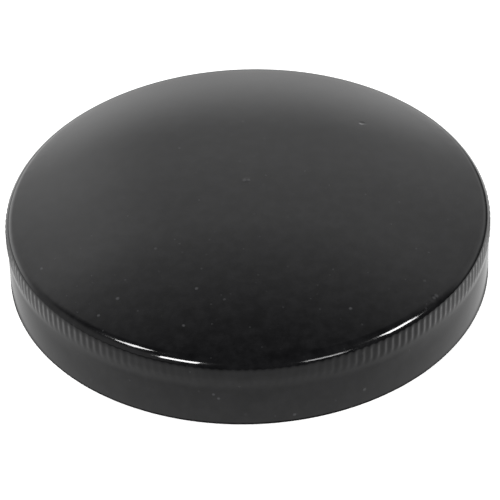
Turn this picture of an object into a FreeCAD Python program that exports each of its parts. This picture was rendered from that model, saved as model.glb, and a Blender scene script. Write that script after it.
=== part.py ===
# Screw-on pipe cap: a pressed, domed steel shell with a ribbed grip band, holding a threaded ring,
# a backing disc and a rubber gasket.
#
# Millimetres. +Z is up and is the axis of the cap. The origin is the centre of the rim that the
# cap stands on, so the pipe comes in from below.
import FreeCAD, Part

import math
import os
import Sketcher

os.makedirs("parts", exist_ok=True)
doc = FreeCAD.newDocument("pipe_cap")

# ---------------------------------------------------------------- driving dimensions
SIZES = {
    # the pipe's thread, a parallel 3-inch pipe thread
    "thread_major_diameter": 87.884,
    "thread_depth": 1.479,
    # the shell
    "cap_height": 22.6,
    "shoulder_height": 13.6,
    "shoulder_radius": 2.6,
    "sheet_thickness": 1.0,
    "rim_bend_radius": 1.4,
    "rim_clearance": 0.6,
    # the ribbed band, which hangs from the shoulder and stands a little proud of the plain skirt
    "band_height": 2.8,
    "band_stand": 0.3,
    "recess_height": 1.1,
    "recess_depth": 0.12,
    "rib_count": 185,
    "rib_rise": 1.1,
    "rib_depth": 0.3,
    "rib_gap": 0.82,
    # the stack inside
    "ring_wall": 2.2,
    "press_gap": 0.05,
    "disc_thickness": 1.2,
    "disc_edge": 0.3,
    "gasket_thickness": 2.0,
    "gasket_width": 6.0,
    "gasket_edge": 0.25,
    "gasket_clearance": 0.1,
    "pocket_relief": 0.3,
    "thread_runout": 0.5,
    "ring_edge": 0.6,
}

sheet = doc.addObject("Spreadsheet::Sheet", "Sizes")
for row, (name, value) in enumerate(SIZES.items(), start=1):
    sheet.set(f"A{row}", name)
    sheet.set(f"B{row}", str(value))
    sheet.setAlias(f"B{row}", name)
doc.recompute()


def size(name):
    """The value of a driving dimension, read from the sheet."""
    return float(sheet.get(name))


# Radii and heights that several pieces share, as expressions on the sheet, so that what fits together
# takes its size from the same cells.
THREAD_MAJOR = "Sizes.thread_major_diameter / 2"
THREAD_MINOR = f"({THREAD_MAJOR} - Sizes.thread_depth)"
RING_OUTER = f"({THREAD_MAJOR} + Sizes.ring_wall)"
SHELL_BORE = f"({RING_OUTER} + Sizes.press_gap)"
SKIRT_OUTER = f"({SHELL_BORE} + Sizes.sheet_thickness)"
BAND_OUTER = f"({SKIRT_OUTER} + Sizes.band_stand)"
RIM_OPENING = f"({THREAD_MAJOR} + Sizes.rim_clearance)"
POCKET = f"({THREAD_MAJOR} + Sizes.pocket_relief)"
BAND_BOTTOM = "(Sizes.shoulder_height - Sizes.band_height)"

thread_major = size("thread_major_diameter") / 2
thread_minor = thread_major - size("thread_depth")
ring_outer = thread_major + size("ring_wall")
shell_bore = ring_outer + size("press_gap")
skirt_outer = shell_bore + size("sheet_thickness")
band_outer = skirt_outer + size("band_stand")
rim_opening = thread_major + size("rim_clearance")
pocket = thread_major + size("pocket_relief")

# The dome is part of a sphere that runs tangent into the shoulder's round. Inside, the sheet keeps its
# thickness, and the inner round is tangent to the bore and to the inner sphere.
shoulder_centre = band_outer - size("shoulder_radius")
dome_top = size("cap_height")
round_top = dome_top - size("shoulder_radius")
shoulder_height = size("shoulder_height")
dome_centre = (round_top**2 - shoulder_centre**2 - shoulder_height**2) / (2 * (round_top - shoulder_height))
dome_radius = dome_top - dome_centre
inner_round = size("shoulder_radius") - size("sheet_thickness") - size("band_stand")
inner_dome = dome_radius - size("sheet_thickness")
seat_height = dome_centre + math.sqrt((inner_dome - inner_round) ** 2 - shoulder_centre**2)

SHOULDER_CENTRE = f"({BAND_OUTER} - Sizes.shoulder_radius)"
ROUND_TOP = "(Sizes.cap_height - Sizes.shoulder_radius)"
DOME_CENTRE = (
    f"(({ROUND_TOP} ^ 2 - {SHOULDER_CENTRE} ^ 2 - Sizes.shoulder_height ^ 2)"
    f" / (2 * ({ROUND_TOP} - Sizes.shoulder_height)))"
)
INNER_ROUND = "(Sizes.shoulder_radius - Sizes.sheet_thickness - Sizes.band_stand)"
INNER_DOME = f"(Sizes.cap_height - {DOME_CENTRE} - Sizes.sheet_thickness)"
SEAT_HEIGHT = f"({DOME_CENTRE} + sqrt(({INNER_DOME} - {INNER_ROUND}) ^ 2 - {SHOULDER_CENTRE} ^ 2))"
DISC_BOTTOM = f"({SEAT_HEIGHT} - Sizes.disc_thickness)"
GASKET_BOTTOM = f"({DISC_BOTTOM} - Sizes.gasket_thickness)"
THREAD_TOP = f"({GASKET_BOTTOM} - Sizes.thread_runout)"


# ---------------------------------------------------------------- helpers for sketches
def new_body(name):
    body = doc.addObject("PartDesign::Body", name)
    body.Label = name
    return body


def new_sketch(body, role, name):
    """A sketch on one of the body's own origin planes."""
    plane = next(f for f in body.Origin.OriginFeatures if f.Role == role)
    sketch = body.newObject("Sketcher::SketchObject", name)
    sketch.AttachmentSupport = [(plane, "")]
    sketch.MapMode = "FlatFace"
    return sketch


def bind(sketch, kind, *target, to):
    """Adds a dimension at its present value, then binds it to an expression."""
    index = sketch.addConstraint(Sketcher.Constraint(kind, *target))
    sketch.setExpression(f"Constraints[{index}]", to)
    return index


def flat(x, y):
    return FreeCAD.Vector(x, y, 0)


def outline(sketch, points):
    """A closed outline of straight lines through points, each (x, y, expression for x, expression for y).
    A coordinate whose expression is None is left to its neighbour, along a level or upright line."""
    count = len(points)
    for i, (x, y, _, _) in enumerate(points):
        nx, ny = points[(i + 1) % count][:2]
        sketch.addGeometry(Part.LineSegment(flat(x, y), flat(nx, ny)), False)
    for i in range(count):
        sketch.addConstraint(Sketcher.Constraint("Coincident", i, 2, (i + 1) % count, 1))
    for i, (x, y, x_to, y_to) in enumerate(points):
        if x_to is not None:
            bind(sketch, "DistanceX", -1, 1, i, 1, x, to=x_to)
        if y_to == "0":
            sketch.addConstraint(Sketcher.Constraint("PointOnObject", i, 1, -1))
        elif y_to is not None:
            bind(sketch, "DistanceY", -1, 1, i, 1, y, to=y_to)


def turned(body, sketch, name):
    """Revolves a half section about the axis of the cap."""
    feature = body.newObject("PartDesign::Revolution", name)
    feature.Profile = sketch
    feature.ReferenceAxis = (sketch, ["V_Axis"])
    feature.Angle = 360.0
    sketch.Visibility = False
    doc.recompute()
    return feature


# ---------------------------------------------------------------- domed shell
# Pressed from one disc of sheet: dome, shoulder, ribbed band, plain skirt, and a lower edge bent in
# under the ring.
shell = new_body("domed_shell")
section = new_sketch(shell, "XZ_Plane", "shell_section")

sheet_t = size("sheet_thickness")
band_bottom = shoulder_height - size("band_height")
recess_r = skirt_outer - size("recess_depth")
recess_bottom = band_bottom - size("recess_height")
bend = size("rim_bend_radius")
inner_bend = bend - sheet_t
lean = math.atan2(shoulder_centre, shoulder_height - dome_centre)
inner_lean = math.atan2(shoulder_centre, seat_height - dome_centre)
quarter = math.pi / 2


def arc(centre, radius, start, end):
    """An arc that runs anticlockwise from start to end, in radians from the X axis."""
    circle = Part.Circle(flat(*centre), FreeCAD.Vector(0, 0, 1), radius)
    return Part.ArcOfCircle(circle, start, end)


def line(start, end):
    return Part.LineSegment(flat(*start), flat(*end))


corners = {
    "top": (0, dome_top),
    "band_top": (band_outer, shoulder_height),
    "band_end": (band_outer, band_bottom),
    "recess_top": (recess_r, band_bottom),
    "recess_end": (recess_r, recess_bottom + size("recess_depth")),
    "skirt_top": (skirt_outer, recess_bottom),
    "skirt_end": (skirt_outer, bend),
    "rim_outer": (skirt_outer - bend, 0),
    "rim_inner": (rim_opening, 0),
    "lip_inner": (rim_opening, sheet_t),
    "lip_outer": (skirt_outer - bend, sheet_t),
    "bore_bottom": (shell_bore, bend),
    "bore_top": (shell_bore, seat_height),
    "inner_top": (0, dome_top - sheet_t),
}
parts_of_section = [
    ("dome", arc((0, dome_centre), dome_radius, quarter - lean, quarter)),
    ("shoulder", arc((shoulder_centre, shoulder_height), size("shoulder_radius"), 0, quarter - lean)),
    ("band", line(corners["band_top"], corners["band_end"])),
    ("band_step", line(corners["band_end"], corners["recess_top"])),
    ("recess", line(corners["recess_top"], corners["recess_end"])),
    ("recess_slope", line(corners["recess_end"], corners["skirt_top"])),
    ("skirt", line(corners["skirt_top"], corners["skirt_end"])),
    ("bend", arc((skirt_outer - bend, bend), bend, -quarter, 0)),
    ("rim", line(corners["rim_outer"], corners["rim_inner"])),
    ("lip_edge", line(corners["rim_inner"], corners["lip_inner"])),
    ("lip", line(corners["lip_inner"], corners["lip_outer"])),
    ("inner_bend", arc((skirt_outer - bend, bend), inner_bend, -quarter, 0)),
    ("bore", line(corners["bore_bottom"], corners["bore_top"])),
    ("inner_shoulder", arc((shoulder_centre, seat_height), inner_round, 0, quarter - inner_lean)),
    ("inner_dome", arc((0, dome_centre), inner_dome, quarter - inner_lean, quarter)),
    ("axis", line(corners["inner_top"], corners["top"])),
]
at = {}
for index, (name, geometry) in enumerate(parts_of_section):
    section.addGeometry(geometry, False)
    at[name] = index

START, END, CENTRE = 1, 2, 3
# Each tangent joint also holds the two ends together. An arc runs anticlockwise, so its start is the
# end nearer the X axis.
tangents = [
    ("dome", START, "shoulder", END),
    ("shoulder", START, "band", START),
    ("skirt", END, "bend", END),
    ("bend", START, "rim", START),
    ("lip", END, "inner_bend", START),
    ("inner_bend", END, "bore", START),
    ("bore", END, "inner_shoulder", START),
    ("inner_shoulder", END, "inner_dome", START),
]
joints = [
    ("band", END, "band_step", START),
    ("band_step", END, "recess", START),
    ("recess", END, "recess_slope", START),
    ("recess_slope", END, "skirt", START),
    ("rim", END, "lip_edge", START),
    ("lip_edge", END, "lip", START),
    ("inner_dome", END, "axis", START),
    ("axis", END, "dome", END),
]
for kind, pairs in (("Tangent", tangents), ("Coincident", joints)):
    for one, one_end, other, other_end in pairs:
        section.addConstraint(Sketcher.Constraint(kind, at[one], one_end, at[other], other_end))
for name in ("band", "recess", "skirt", "lip_edge", "bore"):
    section.addConstraint(Sketcher.Constraint("Vertical", at[name]))
for name in ("band_step", "rim", "lip"):
    section.addConstraint(Sketcher.Constraint("Horizontal", at[name]))
for name, end in (("dome", CENTRE), ("inner_dome", CENTRE), ("dome", END), ("inner_dome", END)):
    section.addConstraint(Sketcher.Constraint("PointOnObject", at[name], end, -2))
section.addConstraint(Sketcher.Constraint("PointOnObject", at["rim"], END, -1))

bind(section, "DistanceY", -1, 1, at["dome"], END, dome_top, to="Sizes.cap_height")
bind(section, "Radius", at["shoulder"], size("shoulder_radius"), to="Sizes.shoulder_radius")
bind(section, "DistanceX", -1, 1, at["band"], START, band_outer, to=BAND_OUTER)
bind(section, "DistanceY", -1, 1, at["band"], START, shoulder_height, to="Sizes.shoulder_height")
bind(section, "DistanceY", -1, 1, at["band"], END, band_bottom, to=BAND_BOTTOM)
bind(section, "DistanceX", -1, 1, at["recess"], START, recess_r, to=f"{SKIRT_OUTER} - Sizes.recess_depth")
bind(
    section, "DistanceY", -1, 1, at["recess"], END, corners["recess_end"][1],
    to=f"{BAND_BOTTOM} - Sizes.recess_height + Sizes.recess_depth",
)
bind(section, "DistanceX", -1, 1, at["skirt"], START, skirt_outer, to=SKIRT_OUTER)
bind(
    section, "DistanceY", -1, 1, at["skirt"], START, recess_bottom,
    to=f"{BAND_BOTTOM} - Sizes.recess_height",
)
bind(section, "Radius", at["bend"], bend, to="Sizes.rim_bend_radius")
bind(section, "DistanceX", -1, 1, at["rim"], END, rim_opening, to=RIM_OPENING)
bind(section, "DistanceY", at["rim"], END, at["lip"], START, sheet_t, to="Sizes.sheet_thickness")
bind(section, "Radius", at["inner_bend"], inner_bend, to="Sizes.rim_bend_radius - Sizes.sheet_thickness")
bind(section, "DistanceX", -1, 1, at["bore"], START, shell_bore, to=SHELL_BORE)
bind(section, "Radius", at["inner_shoulder"], inner_round, to=INNER_ROUND)
bind(section, "Radius", at["inner_dome"], inner_dome, to=INNER_DOME)
bind(section, "DistanceY", at["inner_dome"], END, at["dome"], END, sheet_t, to="Sizes.sheet_thickness")
turned(shell, section, "pressed_shell")

# One gap between two ribs is a round-bottomed groove up the band, from the recess to a little way into
# the shoulder's round: a circle whose chord at the band's face is the gap, and whose sagitta is the
# rib's depth.
groove_radius = ((size("rib_gap") / 2) ** 2 + size("rib_depth") ** 2) / (2 * size("rib_depth"))
GROOVE_RADIUS = "(((Sizes.rib_gap / 2) ^ 2 + Sizes.rib_depth ^ 2) / (2 * Sizes.rib_depth))"
gap_sketch = new_sketch(shell, "XY_Plane", "rib_gap_section")
gap_sketch.AttachmentOffset.Base = FreeCAD.Vector(0, 0, band_bottom)
gap_sketch.setExpression("AttachmentOffset.Base.z", f"{BAND_BOTTOM} - Sizes.recess_depth")
groove_x = band_outer - size("rib_depth") + groove_radius
gap_sketch.addGeometry(Part.Circle(flat(groove_x, 0), FreeCAD.Vector(0, 0, 1), groove_radius), False)
gap_sketch.addConstraint(Sketcher.Constraint("PointOnObject", 0, 3, -1))
bind(gap_sketch, "Radius", 0, groove_radius, to=GROOVE_RADIUS)
bind(gap_sketch, "DistanceX", -1, 1, 0, 3, groove_x, to=f"{BAND_OUTER} - Sizes.rib_depth + {GROOVE_RADIUS}")
gap_cut = shell.newObject("PartDesign::Pocket", "rib_gap_cut")
gap_cut.Profile = gap_sketch
gap_cut.setExpression("Length", "Sizes.recess_depth + Sizes.band_height + Sizes.rib_rise")
gap_cut.Reversed = True
gap_sketch.Visibility = False
before = shell.Shape.Volume
doc.recompute()
if gap_cut.Shape.Volume >= before:
    raise RuntimeError("the gap between two ribs cuts nothing")

ribs = shell.newObject("PartDesign::PolarPattern", "ribs")
ribs.Originals = [gap_cut]
ribs.Axis = (gap_sketch, ["N_Axis"])
ribs.Angle = 360.0
ribs.setExpression("Occurrences", "Sizes.rib_count")
shell.Tip = ribs
doc.recompute()

# ---------------------------------------------------------------- threaded ring
# A turned steel ring that stands on the shell's lip. The bore is at the thread's crests, a lead-in cone
# is at the mouth, and a wider pocket over the thread takes the gasket.
ring = new_body("threaded_ring")
ring_section = new_sketch(ring, "XZ_Plane", "ring_section")
disc_bottom = seat_height - size("disc_thickness")
gasket_bottom = disc_bottom - size("gasket_thickness")
thread_top = gasket_bottom - size("thread_runout")
mouth_top = sheet_t + size("thread_depth")
edge = size("ring_edge")
MOUTH_TOP = "Sizes.sheet_thickness + Sizes.thread_depth"
outline(ring_section, [
    (thread_major, sheet_t, THREAD_MAJOR, "Sizes.sheet_thickness"),
    (ring_outer - edge, sheet_t, f"{RING_OUTER} - Sizes.ring_edge", "Sizes.sheet_thickness"),
    (ring_outer, sheet_t + edge, RING_OUTER, "Sizes.sheet_thickness + Sizes.ring_edge"),
    (ring_outer, disc_bottom, RING_OUTER, DISC_BOTTOM),
    (pocket, disc_bottom, POCKET, DISC_BOTTOM),
    (pocket, thread_top, POCKET, THREAD_TOP),
    (thread_minor, thread_top, THREAD_MINOR, THREAD_TOP),
    (thread_minor, mouth_top, THREAD_MINOR, MOUTH_TOP),
])
turned(ring, ring_section, "turned_ring")

# ---------------------------------------------------------------- backing disc
# A flat blanked disc. It fills the bore of the shell over the ring, with its upper edge chamfered to
# pass under the shoulder's inner round.
disc = new_body("backing_disc")
disc_section = new_sketch(disc, "XZ_Plane", "disc_section")
chamfer = size("disc_edge")
outline(disc_section, [
    (0, disc_bottom, "0", DISC_BOTTOM),
    (ring_outer, disc_bottom, RING_OUTER, DISC_BOTTOM),
    (ring_outer, seat_height - chamfer, RING_OUTER, f"{SEAT_HEIGHT} - Sizes.disc_edge"),
    (ring_outer - chamfer, seat_height, f"{RING_OUTER} - Sizes.disc_edge", SEAT_HEIGHT),
    (0, seat_height, "0", SEAT_HEIGHT),
])
turned(disc, disc_section, "blanked_disc")

# ---------------------------------------------------------------- sealing gasket
# A flat rubber ring that lies against the disc inside the ring's pocket. It is wider than the thread's
# bore, so the thread keeps it in.
gasket = new_body("sealing_gasket")
gasket_section = new_sketch(gasket, "XZ_Plane", "gasket_section")
gasket_outer = pocket - size("gasket_clearance")
gasket_inner = gasket_outer - size("gasket_width")
soft_edge = size("gasket_edge")
GASKET_OUTER = f"({POCKET} - Sizes.gasket_clearance)"
GASKET_INNER = f"({GASKET_OUTER} - Sizes.gasket_width)"
outline(gasket_section, [
    (gasket_inner + soft_edge, gasket_bottom, f"{GASKET_INNER} + Sizes.gasket_edge", GASKET_BOTTOM),
    (gasket_outer - soft_edge, gasket_bottom, f"{GASKET_OUTER} - Sizes.gasket_edge", GASKET_BOTTOM),
    (gasket_outer, gasket_bottom + soft_edge, GASKET_OUTER, f"{GASKET_BOTTOM} + Sizes.gasket_edge"),
    (gasket_outer, disc_bottom, GASKET_OUTER, DISC_BOTTOM),
    (gasket_inner, disc_bottom, GASKET_INNER, DISC_BOTTOM),
    (gasket_inner, gasket_bottom + soft_edge, GASKET_INNER, f"{GASKET_BOTTOM} + Sizes.gasket_edge"),
])
turned(gasket, gasket_section, "cut_gasket")

# ---------------------------------------------------------------- check and write
doc.recompute()
for item in doc.Objects:
    if "Invalid" in item.State or "Error" in item.State:
        raise RuntimeError(f"{item.Label} did not recompute: {item.State}")

for body in (shell, disc, ring, gasket):
    shape = body.Shape
    if shape.isNull() or not shape.isValid() or len(shape.Solids) != 1:
        raise RuntimeError(f"{body.Label} is not one valid solid")
    box = shape.BoundBox
    print(
        f"{body.Label}: {shape.Volume:.1f} mm3, radius {box.XMax:.3f}, z {box.ZMin:.3f} to {box.ZMax:.3f},"
        f" {len(shape.Faces)} faces"
    )
    shape.exportStep(f"parts/{body.Label}.step")
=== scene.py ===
import math

import bmesh
import bpy
from mathutils import Matrix, Vector


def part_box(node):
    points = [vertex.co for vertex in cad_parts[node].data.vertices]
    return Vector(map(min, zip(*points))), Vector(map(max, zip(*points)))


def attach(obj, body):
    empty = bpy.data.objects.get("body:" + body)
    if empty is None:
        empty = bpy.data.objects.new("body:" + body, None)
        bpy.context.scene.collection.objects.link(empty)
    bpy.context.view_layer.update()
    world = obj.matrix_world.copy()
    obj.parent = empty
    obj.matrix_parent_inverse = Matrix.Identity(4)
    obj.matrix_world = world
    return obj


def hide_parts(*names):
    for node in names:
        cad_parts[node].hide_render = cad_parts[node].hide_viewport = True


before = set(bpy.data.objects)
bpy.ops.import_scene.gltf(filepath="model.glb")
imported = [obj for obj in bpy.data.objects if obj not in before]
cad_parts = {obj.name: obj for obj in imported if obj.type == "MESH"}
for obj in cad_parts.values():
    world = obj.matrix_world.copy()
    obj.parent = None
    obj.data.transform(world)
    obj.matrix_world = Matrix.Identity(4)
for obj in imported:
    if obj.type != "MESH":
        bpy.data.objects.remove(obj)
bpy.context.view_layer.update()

mm = 0.001

# ---------------------------------------------------------------- enamelled shell
# The outer skin of the cap: one disc of 1 mm sheet steel, pressed to a shallow dome with a rolled band of
# ribs under its shoulder, the lower edge bent in under the threaded ring, then stove-enamelled black.
low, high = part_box("domed_shell")
band_radius = (high.y - low.y) / 2
crown_height = high.z
sheet = 1.0 * mm
band_stand = 0.3 * mm
skirt_radius = band_radius - band_stand
shoulder_radius = 2.6 * mm
shoulder_line = 13.6 * mm
band_bottom = 10.8 * mm
rim_bend = 1.4 * mm
bore_radius = skirt_radius - sheet
rim_opening = 44.542 * mm
rib_count = 185
rib_depth = 0.3 * mm
rib_top = 14.7 * mm
columns = 6
merge_gap = 0.002 * mm
quarter = math.pi / 2


def deselect_all():
    if bpy.context.object and bpy.context.object.mode == "EDIT":
        bpy.ops.object.mode_set(mode="OBJECT")
    bpy.ops.object.select_all(action="DESELECT")


def arc_points(centre, radius, start, end, steps):
    """Points (across, up) along an arc, with angles measured from the level line outwards."""
    turn = (end - start) / steps
    angles = [start + turn * i for i in range(steps + 1)]
    return [(centre[0] + radius * math.cos(a), centre[1] + radius * math.sin(a)) for a in angles]


def draw_chain(name, points):
    """A new object that is one chain of edges, drawn point after point by extruding a vertex. Leaves it in
    edit mode with everything selected."""
    deselect_all()
    bpy.ops.mesh.primitive_plane_add(size=mm, location=(points[0][0], 0, points[0][1]))
    chain = bpy.context.object
    chain.name = name
    bpy.ops.object.transform_apply(location=True, rotation=True, scale=True)
    bpy.ops.object.mode_set(mode="EDIT")
    bpy.ops.mesh.select_mode(type="VERT")
    bpy.ops.mesh.select_all(action="SELECT")
    bpy.ops.mesh.merge(type="CENTER")
    for here, there in zip(points, points[1:]):
        move = (there[0] - here[0], 0, there[1] - here[1])
        bpy.ops.mesh.extrude_vertices_move(TRANSFORM_OT_translate={"value": move})
    bpy.ops.mesh.select_all(action="SELECT")
    return chain


def pick(piece, wanted):
    """Selects the vertices of a piece in edit mode whose place passes the test, and no others."""
    mesh = bmesh.from_edit_mesh(piece.data)
    for vertex in mesh.verts:
        vertex.select_set(bool(wanted(vertex.co)))
    mesh.select_flush(True)
    mesh.select_flush(False)
    bmesh.update_edit_mesh(piece.data)


def close_up():
    """Merges the doubled vertices of what is in edit mode and turns every face outwards."""
    bpy.ops.mesh.select_all(action="SELECT")
    bpy.ops.mesh.remove_doubles(threshold=merge_gap)
    bpy.ops.mesh.normals_make_consistent(inside=False)


# The dome is a sphere that runs tangent into the shoulder's round.
shoulder_centre = band_radius - shoulder_radius
round_top = crown_height - shoulder_radius
dome_centre = (round_top**2 - shoulder_centre**2 - shoulder_line**2) / (2 * (round_top - shoulder_line))
dome_radius = crown_height - dome_centre
dome_edge = math.atan2(shoulder_line - dome_centre, shoulder_centre)
inner_round = shoulder_radius - sheet - band_stand
inner_dome = dome_radius - sheet
seat = dome_centre + math.sqrt((inner_dome - inner_round) ** 2 - shoulder_centre**2)
inner_edge = math.atan2(seat - dome_centre, shoulder_centre)


def dome_height(across):
    """How high the dome stands at this distance from the axis."""
    return dome_centre + math.sqrt(dome_radius**2 - across**2)


# A small pip stands at the crown, where the sheet was centred in the press. Each point is its distance from
# the axis and its height over the dome, in millimetres.
pip_outline = [(0.0, 0.05), (0.3, 0.045), (0.55, 0.028), (0.75, 0.008), (1.0, 0.0)]
pip_end = math.asin(1.3 * mm / dome_radius)

outline = [(x * mm, dome_height(x * mm) + z * mm) for x, z in pip_outline]
outline += arc_points((0, dome_centre), dome_radius, quarter - pip_end, dome_edge, 20)
rib_end_angle = math.asin((rib_top - shoulder_line) / shoulder_radius)
outline += arc_points((shoulder_centre, shoulder_line), shoulder_radius, dome_edge, rib_end_angle, 10)[1:]
for rise in (0.75 * mm, 0.4 * mm):
    outline.append((shoulder_centre + math.sqrt(shoulder_radius**2 - rise**2), shoulder_line + rise))

# The enamel fills the step under the band, so the band eases into a faint hollow and then into the skirt.
outline += [
    (band_radius, shoulder_line),
    (band_radius - 0.02 * mm, band_bottom + 1.2 * mm),
    (band_radius - 0.06 * mm, band_bottom + 0.8 * mm),
    (band_radius - 0.12 * mm, band_bottom + 0.4 * mm),
    (band_radius - 0.18 * mm, band_bottom),
    (band_radius - 0.24 * mm, band_bottom - 0.4 * mm),
    (band_radius - 0.29 * mm, band_bottom - 0.8 * mm),
    (band_radius - 0.32 * mm, band_bottom - 1.2 * mm),
    (skirt_radius - 0.03 * mm, band_bottom - 1.6 * mm),
    (skirt_radius - 0.01 * mm, band_bottom - 2.0 * mm),
    (skirt_radius, band_bottom - 2.5 * mm),
]
outline += arc_points((skirt_radius - rim_bend, rim_bend), rim_bend, 0, -quarter, 7)
outline += [
    (rim_opening + 0.25 * mm, 0),
    (rim_opening + 0.06 * mm, 0.08 * mm),
    (rim_opening, 0.3 * mm),
    (rim_opening, 0.7 * mm),
    (rim_opening + 0.06 * mm, 0.92 * mm),
    (rim_opening + 0.25 * mm, sheet),
]
outline += arc_points((skirt_radius - rim_bend, rim_bend), rim_bend - sheet, -quarter, 0, 3)
outline += arc_points((shoulder_centre, seat), inner_round, 0, inner_edge, 4)
outline += arc_points((0, dome_centre), inner_dome, inner_edge, quarter, 6)[1:]

# One rib and one gap: each column of the band is drawn in towards the axis, as a V whose depth runs out at
# the top and the bottom of the band.
rib_turn = 2 * math.pi / rib_count
run_out = [
    (shoulder_line + 0.75 * mm, 0.5),
    (shoulder_line + 0.4 * mm, 0.9),
    (shoulder_line, 1.0),
    (band_bottom + 1.2 * mm, 1.0),
    (band_bottom + 0.8 * mm, 0.9),
    (band_bottom + 0.4 * mm, 0.6),
    (band_bottom, 0.2),
]

# How near a vertex lies to a column or a level that it belongs to, and where the outer skin begins.
column_reach = 0.1 * rib_turn
level_reach = 0.02 * mm
outer_skin = bore_radius + 0.5 * sheet


def around(place):
    return math.atan2(place.y, place.x)


def rib_run(count, first, depth):
    """A slice of the shell with this many ribs of this depth, starting at the rib numbered first."""
    piece = draw_chain("enamelled_shell", outline)
    bpy.ops.mesh.spin(steps=columns, angle=rib_turn, center=(0, 0, 0), axis=(0, 0, 1))
    for column in range(1, columns):
        angle = rib_turn * column / columns
        wave = 1 - abs(2 * column / columns - 1)
        for level, part in run_out:
            pick(piece, lambda c: abs(abs(around(c)) - angle) < column_reach
                 and abs(c.z - level) < level_reach and c.xy.length > outer_skin)
            narrower = (band_radius - depth * wave * part) / band_radius
            bpy.ops.transform.resize(value=(narrower, narrower, 1), center_override=(0, 0, 0))
    bpy.ops.mesh.select_all(action="SELECT")
    whole_run = rib_turn * (count - 1)
    bpy.ops.mesh.spin(steps=count - 1, dupli=True, angle=whole_run, center=(0, 0, 0), axis=(0, 0, 1))
    bpy.ops.mesh.select_all(action="SELECT")
    bpy.ops.transform.rotate(value=first * rib_turn, orient_axis="Z", center_override=(0, 0, 0))
    bpy.ops.object.mode_set(mode="OBJECT")
    return piece


# The enamel lies thick in the ribs along the front and thinner at the sides, so the ribs come in runs, each a
# number of ribs and a share of the full depth. They go from the right by the front and the left to the back.
runs = [(34, 0.8), (3, 0.55), (2, 0.35), (22, 0.2), (4, 0.35), (5, 0.5), (15, 0.6), (100, 1.0)]
pieces, first = [], 0
for count, share in runs:
    pieces.append(rib_run(count, first, rib_depth * share))
    first += count
deselect_all()
for piece in pieces:
    piece.select_set(True)
shell = pieces[0]
bpy.context.view_layer.objects.active = shell
bpy.ops.object.join()
shell.name = "enamelled_shell"
bpy.ops.object.mode_set(mode="EDIT")
close_up()
bpy.ops.object.mode_set(mode="OBJECT")
bpy.ops.object.shade_smooth_by_angle(angle=math.radians(40))


def linear(code):
    """An sRGB hex colour, turned linear for a shader socket."""
    channels = [int(code[i:i + 2], 16) / 255 for i in (1, 3, 5)]
    return tuple(c / 12.92 if c <= 0.04045 else ((c + 0.055) / 1.055) ** 2.4 for c in channels) + (1.0,)


def add(tree, kind, settings=None, **links):
    """Adds a node, with its settings, and its inputs by name: a value, or an output to link from."""
    made = tree.nodes.new(kind)
    for name, value in (settings or {}).items():
        setattr(made, name, value)
    for name, value in links.items():
        name = name.replace("_", " ")
        by_number = name.startswith("in") and name[2:].isdigit()
        socket = made.inputs[int(name[2:])] if by_number else made.inputs[name]
        if isinstance(value, bpy.types.NodeSocket):
            tree.links.new(value, socket)
        else:
            socket.default_value = value
    return made


def new_material(name):
    material = bpy.data.materials.new(name)
    material.use_nodes = True
    material.node_tree.nodes.clear()
    return material, material.node_tree


# Stoved black enamel: a glossy film over the steel. It has the faint unevenness of sprayed paint, more of it
# where the shoulder was rolled, handling smears that dull it in patches, and grey dust nibs dried into it.
# Its colour also carries painted highlights at the dings and on the pip.
black_enamel, tree = new_material("stoved_black_enamel")
place = add(tree, "ShaderNodeTexCoord").outputs["Object"]
height = add(tree, "ShaderNodeSeparateXYZ", Vector=place).outputs["Z"]


def step(value, start, end, low=0.0, high=1.0, kind="SMOOTHSTEP"):
    """Goes from low to high as value goes from start to end, and stays level beyond them."""
    made = add(tree, "ShaderNodeMapRange", {"interpolation_type": kind}, Value=value, From_Min=start,
               From_Max=end, To_Min=low, To_Max=high)
    return made.outputs["Result"]


def times(one, other):
    return add(tree, "ShaderNodeMath", {"operation": "MULTIPLY"}, in0=one, in1=other).outputs["Value"]


def plus(one, other):
    return add(tree, "ShaderNodeMath", {"operation": "ADD"}, in0=one, in1=other).outputs["Value"]


def noise(size, detail=2.0, roughness=0.5):
    """Soft blotches of about this size."""
    made = add(tree, "ShaderNodeTexNoise", Vector=place, Scale=1 / size, Detail=detail, Roughness=roughness)
    return made.outputs["Fac"]


def spot(x, y, z, radius):
    """One at this point of the surface, and nothing beyond the radius. All in millimetres."""
    centre = (x * mm, y * mm, z * mm)
    gap = add(tree, "ShaderNodeVectorMath", {"operation": "DISTANCE"}, in0=place, in1=centre)
    return step(gap.outputs["Value"], 0.3 * radius * mm, radius * mm, 1.0, 0.0)


def nibs(spacing, radius, share):
    """Small round specks, one to a cell of this spacing, in this share of the cells, some of them faint."""
    cells = add(tree, "ShaderNodeTexVoronoi", Vector=place, Scale=1 / spacing, Randomness=1.0)
    chance = add(tree, "ShaderNodeSeparateColor", Color=cells.outputs["Color"])
    strength = step(chance.outputs["Red"], 1 - share, 1.0, 0.0, 1.0, "LINEAR")
    speck = step(cells.outputs["Distance"], 0.4 * radius / spacing, radius / spacing, 1.0, 0.0)
    return times(strength, speck)


dust = plus(times(nibs(2.3 * mm, 0.27 * mm, 1.0), 0.5), times(nibs(4.3 * mm, 0.4 * mm, 0.6), 0.7))

# The larger nibs, each as x, y, z and radius in millimetres. A separate program worked out these places, so
# they don't follow the shell's dimensions.
marks = [
    (-25.10, -29.45, 17.95, 0.5), (-10.09, -29.32, 19.63, 0.45), (18.78, -34.56, 17.79, 0.45),
    (-39.81, -17.98, 16.65, 0.4), (-28.72, -32.78, 16.67, 0.4), (-12.68, -37.78, 17.66, 0.4),
    (-7.48, -46.60, 7.96, 0.4), (-6.57, -46.73, 7.05, 0.4), (20.97, -42.28, 4.25, 0.5),
    (7.59, -46.58, 2.33, 0.45),
]
for x, y, z, radius in marks:
    dust = plus(dust, spot(x, y, z, radius))
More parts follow.
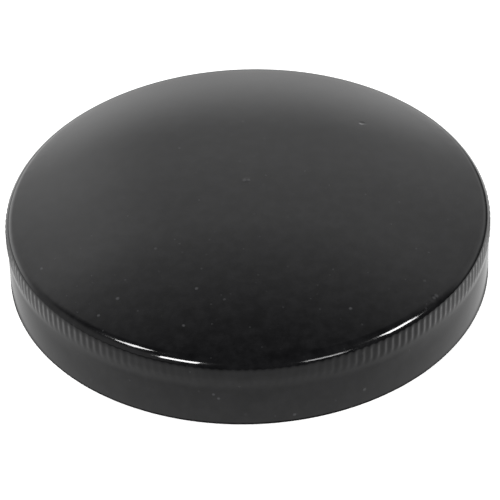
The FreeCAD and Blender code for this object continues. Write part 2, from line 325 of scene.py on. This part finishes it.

# Grey spots painted as highlights, where the dings and the pip catch the light: a pair at a small ding on the
# shoulder at the right, one at a ding on the dome behind, and a pair on the pip. The dings' places came from
# the same program and were then moved by hand.
crown = crown_height / mm
behind_ding_highlight = spot(24.0, 21.1, 19.45, 0.45)
pip_and_ding_highlights = plus(spot(34.8, -30.0, 16.01, 0.5), plus(spot(35.25, -29.4, 16.01, 0.55), behind_ding_highlight))
pip_and_ding_highlights = plus(pip_and_ding_highlights, plus(spot(-0.35, 0, crown, 0.6), spot(0.45, 0, crown, 0.5)))
dull = step(noise(22 * mm, 5.0, 0.62), 0.3, 0.75, 0.07, 0.14)
mottle = step(noise(2.4 * mm, 4.0, 0.6), 0.3, 0.75, 0.01, 0.075)
# The grey share of the colour: mottle, dust nibs, and the painted highlights at the dings and the pip.
grey = plus(mottle, plus(times(dust, 0.5), times(pip_and_ding_highlights, 0.36)))
colour = add(tree, "ShaderNodeMix", {"data_type": "RGBA"}, Factor=grey, in6=linear("#080809"),
             in7=linear("#464648"))
on_shoulder = times(step(height, 13.2 * mm, 14.2 * mm), step(height, 16.9 * mm, 15.9 * mm))
uneven = plus(times(noise(9 * mm), 0.012 * mm), times(times(noise(2.6 * mm, 1.0), on_shoulder), 0.02 * mm))
uneven = plus(uneven, times(noise(1.5 * mm), 0.0016 * mm))
dents = plus(spot(23.4, 21.5, 19.45, 0.7), times(spot(34.6, -30.2, 16.01, 1.0), 0.35))
relief = plus(uneven, plus(times(dust, 0.004 * mm), times(dents, -0.05 * mm)))
bump = add(tree, "ShaderNodeBump", Height=relief, Strength=1.0, Distance=1.0)
surface = add(tree, "ShaderNodeBsdfPrincipled", Base_Color=colour.outputs[2], Roughness=dull, IOR=1.42,
              Normal=bump.outputs["Normal"])
add(tree, "ShaderNodeOutputMaterial", Surface=surface.outputs["BSDF"])
shell.data.materials.append(black_enamel)

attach(shell, "root")
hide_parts("domed_shell")


# ---------------------------------------------------------------- threaded ring
# A turned steel ring that the shell's lower edge holds up against the disc. Its bore carries the female
# 3-inch pipe thread, with a lead-in cone at the mouth and a wider pocket over it for the gasket.
ring_low, ring_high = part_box("threaded_ring")
ring_radius = (ring_high.y - ring_low.y) / 2
thread_root = 43.942 * mm
thread_crest = 42.463 * mm
thread_pitch = 2.309 * mm
ring_chamfer = 0.6 * mm
pocket_radius = 44.242 * mm
pocket_depth = 2.5 * mm
thread_end = ring_high.z - pocket_depth
cone_end = ring_low.z + (thread_root - thread_crest)
around_steps = 192

ring_outline = [
    (thread_root, ring_low.z),
    (ring_radius - ring_chamfer, ring_low.z),
    (ring_radius, ring_low.z + ring_chamfer),
    (ring_radius, ring_high.z),
    (pocket_radius, ring_high.z),
    (pocket_radius, thread_end),
    (thread_crest, thread_end),
    (thread_crest, cone_end),
    (thread_root, ring_low.z),
]
ring = draw_chain("ring_with_thread", ring_outline)
bpy.ops.mesh.spin(steps=around_steps, angle=2 * math.pi, center=(0, 0, 0), axis=(0, 0, 1))
close_up()

# The thread is cut by a form tool that follows the helix, from below the mouth to above the run-out. Its
# flanks stand at 55 degrees to each other, and its nose is a sixth of the pitch wide.
nose = thread_pitch / 12
shank = nose + thread_pitch / 3
start = ring_low.z - thread_pitch
tool_outline = [
    (thread_crest - 0.5 * mm, start - shank),
    (thread_crest, start - shank),
    (thread_root, start - nose),
    (thread_root, start + nose),
    (thread_crest, start + shank),
    (thread_crest - 0.5 * mm, start + shank),
    (thread_crest - 0.5 * mm, start - shank),
]
tool = draw_chain("thread_tool", tool_outline)
bpy.ops.mesh.remove_doubles(threshold=merge_gap)
bpy.ops.object.mode_set(mode="OBJECT")
turn = tool.modifiers.new("helix", "SCREW")
turn.axis = "Z"
turn.angle = 2 * math.pi
turn.screw_offset = thread_pitch
turn.iterations = 6
turn.steps = around_steps
turn.render_steps = around_steps
bpy.ops.object.modifier_apply(modifier="helix")
bpy.ops.object.mode_set(mode="EDIT")
bpy.ops.mesh.select_all(action="SELECT")
bpy.ops.mesh.fill_holes(sides=8)
close_up()
deselect_all()
bpy.context.view_layer.objects.active = ring
ring.select_set(True)
cut = ring.modifiers.new("thread", "BOOLEAN")
cut.operation = "DIFFERENCE"
cut.solver = "EXACT"
cut.object = tool
bpy.ops.object.modifier_apply(modifier="thread")
bpy.data.objects.remove(tool)
bpy.ops.object.mode_set(mode="EDIT")
close_up()
bpy.ops.object.mode_set(mode="OBJECT")
bpy.ops.object.shade_smooth_by_angle(angle=math.radians(25))

# Bright zinc plate over a turned surface: the fine grooves that the lathe leaves run round the axis, and
# the plating clouds a little in patches.
zinc_plate, tree = new_material("bright_zinc_plate_on_turned_steel")
place = add(tree, "ShaderNodeTexCoord").outputs["Object"]
split = add(tree, "ShaderNodeSeparateXYZ", Vector=place)
flat_place = add(tree, "ShaderNodeCombineXYZ", X=split.outputs["X"], Y=split.outputs["Y"], Z=0.0)
reach = add(tree, "ShaderNodeVectorMath", {"operation": "LENGTH"}, in0=flat_place.outputs["Vector"])
lathe = add(tree, "ShaderNodeCombineXYZ", X=reach.outputs["Value"], Y=split.outputs["Z"], Z=0.0)
grooves = add(tree, "ShaderNodeTexNoise", Vector=lathe.outputs["Vector"], Scale=1 / (0.35 * mm), Detail=3.0)
clouds = add(tree, "ShaderNodeTexNoise", Vector=place, Scale=1 / (9 * mm), Detail=4.0, Roughness=0.6)
tone = add(tree, "ShaderNodeMix", {"data_type": "RGBA"}, Factor=clouds.outputs["Fac"], in6=linear("#9c9ea0"),
           in7=linear("#c9cacb"))
cloudy = add(tree, "ShaderNodeMapRange", Value=clouds.outputs["Fac"], From_Min=0.3, From_Max=0.7, To_Min=0.24,
             To_Max=0.4)
groove_bump = add(tree, "ShaderNodeBump", Height=grooves.outputs["Fac"], Strength=0.4, Distance=0.02 * mm)
surface = add(tree, "ShaderNodeBsdfPrincipled", Base_Color=tone.outputs[2], Metallic=1.0,
              Roughness=cloudy.outputs["Result"], Normal=groove_bump.outputs["Normal"])
add(tree, "ShaderNodeOutputMaterial", Surface=surface.outputs["BSDF"])
ring.data.materials.append(zinc_plate)

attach(ring, "root")
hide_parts("threaded_ring")


# ---------------------------------------------------------------- backing disc
# A flat disc blanked from 1.2 mm sheet steel, zinc plated like the ring. It lies on the ring, under the
# dome, and is the flat seat behind the gasket.
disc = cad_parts["backing_disc"]
disc.data.materials.clear()
disc.data.materials.append(zinc_plate)


# ---------------------------------------------------------------- sealing gasket
# A flat ring cut from 2 mm rubber sheet, lying in the ring's pocket against the disc. The end of the pipe
# presses on its lower face.
gasket_low, gasket_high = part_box("sealing_gasket")
gasket_outer = (gasket_high.y - gasket_low.y) / 2
gasket_width = 6.0 * mm
gasket_inner = gasket_outer - gasket_width
soft = 0.3 * mm
gasket_outline = arc_points((gasket_outer - soft, gasket_low.z + soft), soft, 0, -quarter, 3)
gasket_outline += arc_points((gasket_inner + soft, gasket_low.z + soft), soft, -quarter, -2 * quarter, 3)
gasket_outline += [
    (gasket_inner, gasket_high.z),
    (gasket_outer, gasket_high.z),
    (gasket_outer, gasket_low.z + soft),
]
gasket = draw_chain("rubber_gasket", gasket_outline)
bpy.ops.mesh.spin(steps=around_steps, angle=2 * math.pi, center=(0, 0, 0), axis=(0, 0, 1))
close_up()
bpy.ops.object.mode_set(mode="OBJECT")
bpy.ops.object.shade_smooth_by_angle(angle=math.radians(40))

# Black rubber cut from calendered sheet: matt, with a fine grain and a trace of talc.
rubber, tree = new_material("calendered_black_rubber")
place = add(tree, "ShaderNodeTexCoord").outputs["Object"]
grain = add(tree, "ShaderNodeTexNoise", Vector=place, Scale=1 / (0.4 * mm), Detail=3.0)
talc = add(tree, "ShaderNodeTexNoise", Vector=place, Scale=1 / (7 * mm), Detail=5.0, Roughness=0.65)
dusted = add(tree, "ShaderNodeMapRange", Value=talc.outputs["Fac"], From_Min=0.45, From_Max=0.8, To_Min=0.0,
             To_Max=1.0)
tone = add(tree, "ShaderNodeMix", {"data_type": "RGBA"}, Factor=dusted.outputs["Result"],
           in6=linear("#1b1b1c"), in7=linear("#3a3a3a"))
grain_bump = add(tree, "ShaderNodeBump", Height=grain.outputs["Fac"], Strength=0.5, Distance=0.03 * mm)
surface = add(tree, "ShaderNodeBsdfPrincipled", Base_Color=tone.outputs[2], Roughness=0.72, IOR=1.5,
              Normal=grain_bump.outputs["Normal"])
add(tree, "ShaderNodeOutputMaterial", Surface=surface.outputs["BSDF"])
gasket.data.materials.append(rubber)

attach(gasket, "root")
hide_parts("sealing_gasket")


# ---------------------------------------------------------------- floor
# A pale sweep of white paper, plain to the camera. What the glossy enamel mirrors of it is set apart: a
# painted glow, bright beside the cap and fading towards the front and far away, with painted shadow close
# behind the cap and under its rim.
deselect_all()
bpy.ops.mesh.primitive_circle_add(vertices=96, radius=1.6, fill_type="NGON", location=(0, 0, 0))
floor = bpy.context.object
floor.name = "floor"
paper, tree = new_material("matt_white_paper")
place = add(tree, "ShaderNodeTexCoord").outputs["Object"]
away = add(tree, "ShaderNodeVectorMath", {"operation": "LENGTH"}, in0=place).outputs["Value"]
split = add(tree, "ShaderNodeSeparateXYZ", Vector=place)
sideways, forwards = split.outputs["X"], split.outputs["Y"]
# Painted light: the glow that the enamel mirrors is emission set by place on the floor, and no lamp lights
# it.
far_left = times(step(away, 120 * mm, 200 * mm), step(sideways, -60 * mm, -130 * mm, 0.0, 0.5))
far = plus(step(away, 200 * mm, 120 * mm, 0.04, 1.0), far_left)
near_side = times(step(away, 52 * mm, 57 * mm, 0.8, 1.15), step(sideways, 0.0, 40 * mm, 1.0, 1.14))
near_front = step(forwards, -25 * mm, -50 * mm)
near = add(tree, "ShaderNodeMix", Factor=near_front, in2=near_side, in3=0.95).outputs[0]
glow = times(times(step(forwards, -140 * mm, -30 * mm, 0.1, 0.88), near), far)
# Painted shadow: the glow is cut close behind the cap, where the cap would shade the floor, and under its
# rim.
shaded_behind = times(step(forwards, 0.0, 12 * mm), step(away, 78 * mm, 54 * mm, 0.0, 0.72))
unshaded = step(shaded_behind, 0.0, 1.0, 1.0, 0.0, "LINEAR")
glow = times(glow, times(unshaded, step(away, 47.2 * mm, 48.2 * mm)))
seen = add(tree, "ShaderNodeLightPath").outputs["Is Camera Ray"]
painted_glow_shader = add(tree, "ShaderNodeEmission", Color=linear("#ffffff"), Strength=glow)
sheet_paper = add(tree, "ShaderNodeBsdfPrincipled", Base_Color=linear("#e9e9e8"), Roughness=0.9, IOR=1.3,
                  Emission_Color=linear("#ffffff"), Emission_Strength=0.6)
mixed = add(tree, "ShaderNodeMixShader", in0=seen, in1=painted_glow_shader.outputs["Emission"],
            in2=sheet_paper.outputs["BSDF"])
add(tree, "ShaderNodeOutputMaterial", Surface=mixed.outputs["Shader"])
floor.data.materials.append(paper)


# ---------------------------------------------------------------- studio light
# Pale to the camera. The enamel mirrors a wall behind, brighter at both sides low down and on the left, with
# a dark corner low on the right, and a dim wall on the left side. The light fades overhead, so that the dome
# darkens towards the front. Four soft boxes give the broken gleams along the shoulder.
world = bpy.data.worlds.new("studio")
world.use_nodes = True
bpy.context.scene.world = world
tree = world.node_tree
tree.nodes.clear()
way = add(tree, "ShaderNodeTexCoord").outputs["Generated"]
split = add(tree, "ShaderNodeSeparateXYZ", Vector=way)
to_right, to_back, upwards = split.outputs["X"], split.outputs["Y"], split.outputs["Z"]
overhead = step(upwards, 0.72, 0.97, 1.0, 0.06, "LINEAR")
off_centre = add(tree, "ShaderNodeMath", {"operation": "ABSOLUTE"}, in0=to_right).outputs["Value"]
low_wall = times(step(upwards, 0.42, 0.12, 0.0, 0.9), step(off_centre, 0.03, 0.28, 0.6, 1.32))
wall = plus(step(upwards, 0.38, 0.55, 0.76, 0.89), low_wall)
wall = plus(wall, times(step(off_centre, 0.08, 0.3, 0.0, 0.2), step(upwards, 0.62, 0.38)))
wall = plus(wall, times(step(to_right, -0.12, -0.34, 0.0, 0.45), step(upwards, 0.85, 0.65)))
right_corner = step(to_right, 0.25, 0.5)
dark_corner = step(upwards, 0.42, 0.0, 0.0, 1.0)
wall = times(wall, step(times(right_corner, dark_corner), 0.0, 1.0, 1.0, 0.03, "LINEAR"))
wall = times(wall, step(off_centre, 0.25, 0.5, 1.0, 0.85))
behind = times(wall, step(plus(to_back, times(step(to_right, 0.3, 0.7), 0.16)), 0.15, 0.55))
left_side = times(step(to_right, -0.4, -0.75), step(to_back, 0.45, 0.1))
left_side = times(left_side, step(upwards, 0.75, 0.45, 0.0, 0.5))
glimmer = plus(0.035, times(overhead, plus(behind, left_side)))
seen = add(tree, "ShaderNodeLightPath").outputs["Is Camera Ray"]
light = add(tree, "ShaderNodeBackground", Color=linear("#ffffff"), Strength=glimmer)
plain = add(tree, "ShaderNodeBackground", Color=linear("#f2f2f2"), Strength=1.0)
mixed = add(tree, "ShaderNodeMixShader", in0=seen, in1=light.outputs["Background"],
            in2=plain.outputs["Background"])
add(tree, "ShaderNodeOutputWorld", Surface=mixed.outputs["Shader"])


distance = 0.7


def softbox(name, bearing, height, wide, tall, brightness):
    """A soft box that faces the cap. bearing is measured from the front, to the right, height from the
    floor, and wide and tall are the angles that it fills as the cap sees it. All four are in degrees."""
    turned, raised = math.radians(bearing), math.radians(height)
    level_part = math.cos(raised)
    aim = Vector((math.sin(turned) * level_part, -math.cos(turned) * level_part, math.sin(raised)))
    target = Vector((0, 0, shoulder_line))
    facing = aim.to_track_quat("Z", "Y").to_euler()
    bpy.ops.object.light_add(type="AREA", location=target + aim * distance, rotation=facing)
    lamp = bpy.context.object
    lamp.name = name
    lamp.data.shape = "RECTANGLE"
    lamp.data.size = 2 * distance * math.tan(math.radians(wide / 2))
    lamp.data.size_y = 2 * distance * math.tan(math.radians(tall / 2))
    lamp.data.energy = brightness * lamp.data.size * lamp.data.size_y * math.pi


softbox("softbox_left_high", -67.5, 53, 8, 12, 32)
softbox("softbox_left_low", -32.5, 31, 15, 11, 42)
softbox("softbox_right_low", 30.5, 17, 16, 9, 13)
softbox("softbox_right_high", 70, 33, 14, 11, 42)
bpy.context.scene.view_settings.view_transform = "Standard"


# ---------------------------------------------------------------- camera
# A long lens, looking down at the cap from the front.
view_distance = 0.7552
view_height = math.radians(38.76)
view_roll = math.radians(1.907)
aim_point = Vector((0.26 * mm, 0, 5.2 * mm))
camera_place = Vector((0, -view_distance * math.cos(view_height), view_distance * math.sin(view_height)))
back = (camera_place - aim_point).normalized()
across = Vector((0, 0, 1)).cross(back).normalized()
upright = back.cross(across)
level = Matrix((across, upright, back)).transposed().to_4x4()
roll = Matrix.Rotation(-view_roll, 4, "Z")
deselect_all()
bpy.ops.object.camera_add()
camera = bpy.context.object
camera.matrix_world = Matrix.Translation(camera_place) @ level @ roll
camera.data.sensor_width = 36
camera.data.lens = 274.5
camera.data.clip_start = 0.01
bpy.context.scene.camera = camera
